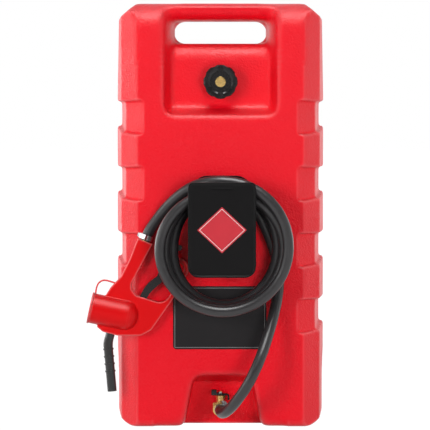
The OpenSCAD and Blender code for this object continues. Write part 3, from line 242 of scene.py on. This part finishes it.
def printed_line(slot, node, shape, inset, width, color):
    """A line printed on a flat node, at an inset from the edge of its diamond or panel."""
    tree = MATERIALS[slot].node_tree
    base = tree.nodes["Principled BSDF"].inputs["Base Color"]
    lo, hi = (Vector(v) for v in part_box(node))
    mid, half = (lo + hi) / 2, (hi - lo) / 2
    place = tree.nodes.new("ShaderNodeTexCoord")
    apart = tree.nodes.new("ShaderNodeSeparateXYZ")
    tree.links.new(place.outputs["Object"], apart.inputs["Vector"])

    def calc(kind, *values):
        return calculate(tree, kind, *values)

    x = calc("ABSOLUTE", calc("SUBTRACT", apart.outputs["X"], mid.x))
    z = calc("ABSOLUTE", calc("SUBTRACT", apart.outputs["Z"], mid.z))
    if shape == "diamond":
        share = calc("SUBTRACT", 1, calc("ADD", calc("DIVIDE", x, half.x), calc("DIVIDE", z, half.z)))
        inside = calc("MULTIPLY", share, half.x * half.z / math.hypot(half.x, half.z))
    else:
        inside = calc("MINIMUM", calc("SUBTRACT", half.x, x), calc("SUBTRACT", half.z, z))
    line = calc("MULTIPLY", calc("GREATER_THAN", inside, inset), calc("LESS_THAN", inside, inset + width))
    plain = base.links[0].from_socket
    tree.links.new(blend_colors(tree, line, plain, color), base)


printed_line("placard_red", "placard", "diamond", 2.3 * MM, 1.1 * MM, (0.75, 0.66, 0.65))
printed_line("label_black", "label_panel", "panel", 3.0 * MM, 0.8 * MM, (0.3, 0.3, 0.3))

# Ways to make a piece
WELD = 1e-6
SMOOTHING = 0.5
BEVEL_STEPS = 2
SHARP = math.radians(35)
FACE_WEIGHT = 90


def paint(ob, slot):
    ob.data.materials.clear()
    ob.data.materials.append(MATERIALS[slot])


def add(name, data):
    ob = bpy.data.objects.new(name, data)
    scene.collection.objects.link(ob)
    return ob


def stand_for(ob, node):
    """ob takes the place of a CAD node: same body, same material slot."""
    paint(ob, LOOKS.get(node, SLOT[node]))
    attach(ob, BODY[node])
    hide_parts(node)
    return ob


def baked(ob, name):
    """The mesh of ob with its modifiers applied, as an object of its own."""
    bpy.context.view_layer.update()
    done = ob.evaluated_get(bpy.context.evaluated_depsgraph_get())
    data = bpy.data.meshes.new_from_object(done)
    bpy.data.objects.remove(ob)
    return add(name, data)


def welded(node):
    """A copy of a CAD node's mesh with its faces joined."""
    bm = bmesh.new()
    bm.from_mesh(NODES[node].data)
    bmesh.ops.remove_doubles(bm, verts=bm.verts, dist=WELD)
    return bm


def smooth_mesh(bm, name):
    """A mesh from bm, which is used up, with smooth shading."""
    for face in bm.faces:
        face.smooth = True
    data = bpy.data.meshes.new(name)
    bm.to_mesh(data)
    bm.free()
    return data


def rounded(bm, name, voxel, passes):
    """A closed solid with soft edges: rebuilt on a fine grid, then smoothed."""
    ob = add(name + " grid", smooth_mesh(bm, name))
    grid = ob.modifiers.new("grid", "REMESH")
    grid.mode = "VOXEL"
    grid.voxel_size = voxel
    grid.use_smooth_shade = True
    soft = ob.modifiers.new("soft", "SMOOTH")
    soft.factor = SMOOTHING
    soft.iterations = passes
    return baked(ob, name)


def bevelled(node, width):
    """A CAD node with its sharp edges broken."""
    ob = add(node + " edges", smooth_mesh(welded(node), node))
    edge = ob.modifiers.new("edge", "BEVEL")
    edge.width = width
    edge.segments = BEVEL_STEPS
    edge.limit_method = "ANGLE"
    edge.angle_limit = SHARP
    flat = ob.modifiers.new("flat", "WEIGHTED_NORMAL")
    flat.mode = "FACE_AREA_WITH_ANGLE"
    flat.weight = FACE_WEIGHT
    return stand_for(baked(ob, node + "_look"), node)


def grid_size(fine):
    return fine


# Tank: its outside and the bores of the filler and the drain, closed deep inside, with soft moulded edges
TANK_FINE = 2.4 * MM
TANK_GRID = grid_size(TANK_FINE)
TANK_PASSES = 6
BORE_DEPTH = 0.06
# Where the outside meets the cavity: height, depth and radius
FILLER_RIM = (0.64, -0.080, 0.019)
DRAIN_RIM = (0.03, -0.053, 0.010)
RIM_DEPTH_SLACK = 0.2 * MM
RIM_RADIUS_SLACK = 0.4 * MM


def on_rim(vert):
    for height, depth, radius in (FILLER_RIM, DRAIN_RIM):
        off_depth = abs(vert.co.y - depth)
        off_radius = abs(math.hypot(vert.co.x, vert.co.z - height) - radius)
        if off_depth < RIM_DEPTH_SLACK and off_radius < RIM_RADIUS_SLACK:
            return True
    return False


def open_edges(bm):
    return [edge for edge in bm.edges if edge.is_boundary]


def tank_outside():
    """The faces that can be reached from the tank's base without crossing a rim, and closed bores."""
    bm = welded("tank_shell")
    first = min(bm.faces, key=lambda face: face.calc_center_median().z)
    outside, queue = {first}, [first]
    while queue:
        for edge in queue.pop().edges:
            if all(on_rim(vert) for vert in edge.verts):
                continue
            for face in edge.link_faces:
                if face not in outside:
                    outside.add(face)
                    queue.append(face)
    bmesh.ops.delete(bm, geom=[face for face in bm.faces if face not in outside], context="FACES")
    for item in bmesh.ops.extrude_edge_only(bm, edges=open_edges(bm))["geom"]:
        if isinstance(item, bmesh.types.BMVert):
            item.co.y += BORE_DEPTH
    bmesh.ops.holes_fill(bm, edges=open_edges(bm))
    return bm


tank_look = stand_for(rounded(tank_outside(), "tank_look", TANK_GRID, TANK_PASSES), "tank_shell")

# The tank's roundest places: half width, ends of the height, and the depth that they reach
RECESS_HALF, RECESS_TOP, RECESS_BACK = 0.125, 0.14, -0.06
POCKET_HALF, POCKET_LOW, POCKET_TOP, POCKET_BACK = 0.128, 0.55, 0.75, -0.068
REAR_HALF, REAR_LOW, REAR_TOP, REAR_FRONT = 0.13, 0.55, 0.76, 0.045
SHOULDER_INNER, SHOULDER_OUTER, SHOULDER_LOW, SHOULDER_BACK = 0.07, 0.165, 0.67, -0.02
SHOULDER_INSETS = (0.0, 0.01, 0.02, 0.03)
NECK_R = 0.045
RECESS_PASSES, POCKET_PASSES, SHOULDER_PASSES = 60, 34, 20


def in_recess(co):
    return co.y < RECESS_BACK and abs(co.x) < RECESS_HALF and co.z < RECESS_TOP


def in_pocket(co):
    """Round the filler and the handle slot, but not the filler's neck."""
    neck = math.hypot(co.x, co.z - FILLER_RIM[0]) < NECK_R
    return co.y < POCKET_BACK and abs(co.x) < POCKET_HALF and POCKET_LOW < co.z < POCKET_TOP and not neck


def in_rear_recess(co):
    return co.y > REAR_FRONT and abs(co.x) < REAR_HALF and REAR_LOW < co.z < REAR_TOP


def in_shoulder(co, inset):
    """The front's lean towards the top, on both sides of the handle slot."""
    beside = SHOULDER_INNER + inset / 2 < abs(co.x) < SHOULDER_OUTER - inset
    return co.y < SHOULDER_BACK - inset and beside and SHOULDER_LOW + inset < co.z


def soften(inside, passes):
    """Smooths only the part of the tank that lies inside a region. The passes are those of the fine grid."""
    bm = bmesh.new()
    bm.from_mesh(tank_look.data)
    near = [vert for vert in bm.verts if inside(vert.co)]
    for _ in range(round(passes * (TANK_FINE / TANK_GRID) ** 2)):
        bmesh.ops.smooth_vert(
            bm, verts=near, factor=SMOOTHING, use_axis_x=True, use_axis_y=True, use_axis_z=True
        )
    bm.to_mesh(tank_look.data)
    bm.free()


soften(in_recess, RECESS_PASSES)
soften(in_pocket, POCKET_PASSES)
soften(in_rear_recess, POCKET_PASSES)
for inset in SHOULDER_INSETS:
    soften(lambda co: in_shoulder(co, inset), SHOULDER_PASSES)

# Nozzle halves, holder plate and the pieces with broken edges
NOZZLE_GRID = grid_size(1.1 * MM)
NOZZLE_PASSES = 10
PLATE_GRID = grid_size(0.8 * MM)
PLATE_PASSES = 14
for node in ("nozzle_back", "nozzle_front"):
    stand_for(rounded(welded(node), node + "_look", NOZZLE_GRID, NOZZLE_PASSES), node)
plate = rounded(welded("holder_plate"), "holder_plate_look", PLATE_GRID, PLATE_PASSES)
stand_for(plate, "holder_plate")
# Widths of the broken edges, in millimetres
EDGES = {
    "holder_base": 1.0, "label_panel": 0.25, "cap_body": 0.9, "trigger": 1.6, "barrel_cap": 1.2,
    "spout": 0.6, "spout_collar": 0.8, "valve_body": 0.6, "valve_lever": 0.7, "valve_tailpiece": 0.4,
    "packing_nut": 0.5, "lever_nut": 0.4, "valve_clamp": 0.25, "valve_clamp_screw": 0.3,
    "nozzle_clamp": 0.25, "nozzle_clamp_screw": 0.3, "vent_body": 0.4, "vent_plug": 0.2,
    "wheel_tyre_left": 1.0, "wheel_tyre_right": 1.0, "wheel_hub_left": 1.0, "wheel_hub_right": 1.0,
    "axle_caps": 0.5,
}
for node, width in EDGES.items():
    bevelled(node, width * MM)

# Hose: the route of the CAD hose in millimetres, as X, depth in front of the tank's face, and Z
FRONT = -120.0
HOSE_D = 20.0
COIL_X, COIL_Z = 4.5, 339.8
COIL_DEPTH, COIL_STEP = 22.8, 20.6
COIL_IN, COIL_OUT, COIL_TOP = 88.0, 119.0, 98.0
LOOPS = 3
LOOP_RINGS = 32
LOOP_EASE = 1.8
BOTTOM_PULL = 0.65
# In turns: the coil starts at its top, its loops grow from half a turn on, and the last end climbs back
QUARTER = 0.25
GROW_START, GROW_TURNS = 0.5, 2.5
CLIMB_BACK, CLIMB_TURNS = 25.0, 0.45
LEAD = [
    (0, 25, 30), (0, 5, 29.5), (2.5, -18.5, 28.5), (9.5, -40, 33), (20, -58.5, 44), (32, -73, 60.5),
    (44, -82, 78.5), (55.5, -85, 99), (65, -82.5, 118.5), (73, -76.5, 137), (80, -67.5, 155), (91, -49, 188),
    (100, -33, 221), (106, -21.5, 252), (107, -17, 281), (103.5, -16.5, 310), (95, -18, 340), (84, -20, 368),
    (70, -23, 396), (50.5, -25.5, 420), (27.5, -27, 433.8),
]
TAIL = [
    (-19, -69, 457.5), (-42, -59, 452), (-63.5, -46.5, 441), (-82.5, -33.5, 426), (-99.5, -22.5, 408.5),
    (-114.5, -15, 390),
]
INLET_X, INLET_Z = -138.5, 347.1
INLET_TURN = math.radians(22)
INLET_DEPTH = -11.6
# Steps of the curve between two points of the route, and in a quarter of the hose's round
END_STEPS, COIL_STEPS = 6, 3
HOSE_ROUND = 6


def loop_point(turns):
    """A point of the coil, whose turns are counted from the right-hand side."""
    s, c = math.sin(2 * math.pi * turns), math.cos(2 * math.pi * turns)
    small = max(0, 1 - (turns - GROW_START) / GROW_TURNS) ** LOOP_EASE
    side = COIL_OUT - (COIL_OUT - COIL_IN) * small
    top = COIL_TOP if turns < LOOPS - QUARTER else COIL_OUT
    high, low = ((1 + s) / 2) ** 3, ((1 - s) / 2) ** 3
    r = side + (top - side) * high + BOTTOM_PULL * (COIL_OUT - side) * low
    u = min(1, max(0, (turns - LOOPS) / CLIMB_TURNS))
    depth = -COIL_DEPTH - COIL_STEP * turns + CLIMB_BACK * u * u * (3 - 2 * u)
    return COIL_X + r * c, depth, COIL_Z + r * s


def inlet_at(s):
    """A point on the axis of the nozzle's inlet, s inside its mouth."""
    return INLET_X - s * math.sin(INLET_TURN), INLET_DEPTH, INLET_Z - s * math.cos(INLET_TURN)


def through(points, first, last, steps):
    """Points on the smooth curve from points[first] to points[last], the last one left out."""
    p = [Vector(q) for q in points]
    out = []
    for i in range(first, last):
        a, b, c, d = p[max(0, i - 1)], p[i], p[i + 1], p[min(len(p) - 1, i + 2)]
        for k in range(steps):
            u = k / steps
            square = (2 * a - 5 * b + 4 * c - d) * u**2
            cube = (3 * b - a - 3 * c + d) * u**3
            out.append((2 * b + (c - a) * u + square + cube) / 2)
    return out


def capped_curve(name, dimensions, points):
    """A curve of short straight steps, shaded smooth and with closed ends."""
    curve = bpy.data.curves.new(name, "CURVE")
    curve.dimensions = dimensions
    curve.use_fill_caps = True
    spline = curve.splines.new("POLY")
    spline.points.add(len(points) - 1)
    for point, place in zip(spline.points, points):
        point.co = (*place, 1)
    spline.use_smooth = True
    return curve


coil = [loop_point(QUARTER + i / LOOP_RINGS) for i in range(LOOP_RINGS * LOOPS + 1)]
lead = LEAD + coil[:2]
tail = coil[-2:] + TAIL + [inlet_at(-HOSE_D), inlet_at(0)]
route = (
    through(lead, 0, len(lead) - 2, END_STEPS)
    + through(coil, 0, len(coil) - 1, COIL_STEPS)
    + through(tail, 1, len(tail) - 1, END_STEPS)
    + [Vector(inlet_at(0))]
)
route = [(p + Vector((0, FRONT, 0))) * MM for p in route]
hose_curve = capped_curve("hose", "3D", route)
hose_curve.bevel_depth = HOSE_D / 2 * MM
hose_curve.bevel_resolution = HOSE_ROUND
hose = add("hose_look", hose_curve)
paint(hose, "hose_rubber")
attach(hose, "tank")
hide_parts("hose_lead", "hose_coil", "hose_tail")

# Hanging loop: the same strap along a smooth line, X and Z in millimetres
STRAP = [(-231, 0, 246), (-229.5, 0, 258), (-226, 0, 267.5), (-219, 0, 273), (-210, 0, 273.5), (-192, 0, 268)]
STRAP_T = 3.0 * MM
STRAP_STEPS = 6
STRAP_ROUND = 4
lo, hi = (Vector(v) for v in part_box("hang_loop"))
bend = through(STRAP, 0, len(STRAP) - 1, STRAP_STEPS) + [Vector(STRAP[-1])]
strap = capped_curve("strap", "2D", [(p.x * MM, p.z * MM, 0) for p in bend])
strap.extrude = (hi.y - lo.y - STRAP_T) / 2
strap.bevel_depth = STRAP_T / 2
strap.bevel_resolution = STRAP_ROUND
loop = baked(add("strap", strap), "hang_loop_look")
upright = Matrix.Rotation(math.radians(90), 4, "X")
loop.data.transform(Matrix.Translation((0, (lo.y + hi.y) / 2, 0)) @ upright)
stand_for(loop, "hang_loop")

# CAD nodes that show as they are
for node, ob in NODES.items():
    if not ob.hide_render:
        paint(ob, SLOT[node])


# White background
def show_white(tree, lit, white, output, behind=None):
    """Rays that show the background meet plain white, and glossy ones only where behind is 1."""
    ray = tree.nodes.new("ShaderNodeLightPath")
    glossy = ray.outputs["Is Glossy Ray"]
    if behind is not None:
        glossy = calculate(tree, "MULTIPLY", glossy, behind)
    seen = calculate(tree, "MAXIMUM", ray.outputs["Is Camera Ray"], ray.outputs["Is Transmission Ray"])
    mix = tree.nodes.new("ShaderNodeMixShader")
    tree.links.new(calculate(tree, "MAXIMUM", seen, glossy), mix.inputs["Fac"])
    tree.links.new(lit, mix.inputs[1])
    tree.links.new(white, mix.inputs[2])
    tree.links.new(mix.outputs["Shader"], output.inputs["Surface"])


# Floor, a hair under the feet
FLOOR_HALF = 20
FLOOR_DROP = 0.4 * MM
FLOOR_GREY = (0.35, 0.35, 0.35, 1)
FLOOR_ROUGH = 0.8
FLOOR_GLOW = 1.05
corners = [(x * FLOOR_HALF, y * FLOOR_HALF, 0) for x, y in ((-1, -1), (1, -1), (1, 1), (-1, 1))]
floor_data = bpy.data.meshes.new("floor")
floor_data.from_pydata(corners, [], [(0, 1, 2, 3)])
floor = add("floor", floor_data)
floor.location.z = -FLOOR_DROP
pale, tree, surface, _ = shader("pale floor", FLOOR_ROUGH)
surface.inputs["Base Color"].default_value = FLOOR_GREY
glow = tree.nodes.new("ShaderNodeEmission")
glow.inputs["Color"].default_value = WHITE
glow.inputs["Strength"].default_value = FLOOR_GLOW
show_white(tree, surface.outputs["BSDF"], glow.outputs["Emission"], tree.nodes["Material Output"])
floor_data.materials.append(pale)

# World: soft light, dim in front of the part and bright behind it, by the direction's Y
world = bpy.data.worlds.new("studio")
scene.world = world
world.use_nodes = True
sky = world.node_tree
toward = sky.nodes.new("ShaderNodeTexCoord")
apart = sky.nodes.new("ShaderNodeSeparateXYZ")
sky.links.new(toward.outputs["Generated"], apart.inputs["Vector"])
back = apart.outputs["Y"]
front_light = spread(sky, back, low=0.01, high=0.16, start=-1.0, stop=-0.5)
rear_light = spread(sky, back, low=0.0, high=0.9, start=0.0, stop=0.6)
soft_light = sky.nodes["Background"]
soft_light.inputs["Color"].default_value = WHITE
sky.links.new(calculate(sky, "ADD", front_light, rear_light), soft_light.inputs["Strength"])
backdrop = sky.nodes.new("ShaderNodeBackground")
backdrop.inputs["Color"].default_value = WHITE
backdrop.inputs["Strength"].default_value = 1.0
behind = spread(sky, back, low=0, high=1, start=0.3, stop=0.6)
show_white(
    sky, soft_light.outputs["Background"], backdrop.outputs["Background"], sky.nodes["World Output"], behind
)


# Lamps
def lamp(name, place, aim, power, size=1.2, fill=True, shine=True):
    """A round lamp that lights surfaces (fill), shows in their gloss (shine), or both."""
    data = bpy.data.lights.new(name, "AREA")
    data.shape = "DISK"
    data.size = size
    data.energy = power
    ob = add(name, data)
    ob.location = place
    ob.rotation_euler = (Vector(aim) - Vector(place)).to_track_quat("-Z", "Y").to_euler()
    ob.visible_diffuse = fill
    ob.visible_glossy = shine


lamp("front left", (-1.9, -3.0, 0.9), (0, 0, 0.4), power=51.5, shine=False)
lamp("front right", (1.1, -3.4, 0.5), (0, 0, 0.35), power=49.5, shine=False)
lamp("left", (-2.2, -0.2, 0.8), (0, -0.05, 0.45), power=13)
lamp("right", (2.2, -0.2, 0.7), (0, -0.05, 0.45), power=8, shine=False)
lamp("right gleam", (2.2, -0.2, 0.9), (0, -0.05, 0.6), power=3.5, fill=False)
lamp("top", (0.0, -1.2, 2.7), (0, -0.05, 0.5), power=8)
lamp("top gleam", (0.0, -1.3, 2.8), (0, -0.08, 0.7), power=100, size=2.0, fill=False)
lamp("rear", (0.0, 1.8, 2.9), (0, 0, 0.5), power=6, size=1.4)
for side, power in ((-1, 20), (1, 8)):
    lamp("gleam", (side * 3.0, -2.4, 1.3), (0, 0, 0.4), power, size=0.9, fill=False)
    lamp("edge gleam", (side * 2.0, 1.5, 0.6), (0, 0, 0.35), power, fill=False)

# Camera: its place, the size of a pixel at the tank's front, and the front's base line under the middle
CAMERA_X, CAMERA_FAR, CAMERA_HIGH = -0.0102, 5.5, 0.65
PIXEL = 1.847 * MM
PICTURE_PIXELS = 430
BASE_LINE_PIXELS = 212.1
SENSOR = 36
front_far = CAMERA_FAR + FRONT * MM
focal_pixels = front_far / PIXEL
tilt = math.atan(CAMERA_HIGH / front_far) - math.atan(BASE_LINE_PIXELS / focal_pixels)
camera = bpy.data.cameras.new("camera")
camera.sensor_width = SENSOR
camera.lens = SENSOR * focal_pixels / PICTURE_PIXELS
view = add("camera", camera)
view.location = (CAMERA_X, -CAMERA_FAR, CAMERA_HIGH)
view.rotation_euler = (math.radians(90) - tilt, 0, 0)
scene.camera = view
scene.view_settings.view_transform = "Standard"
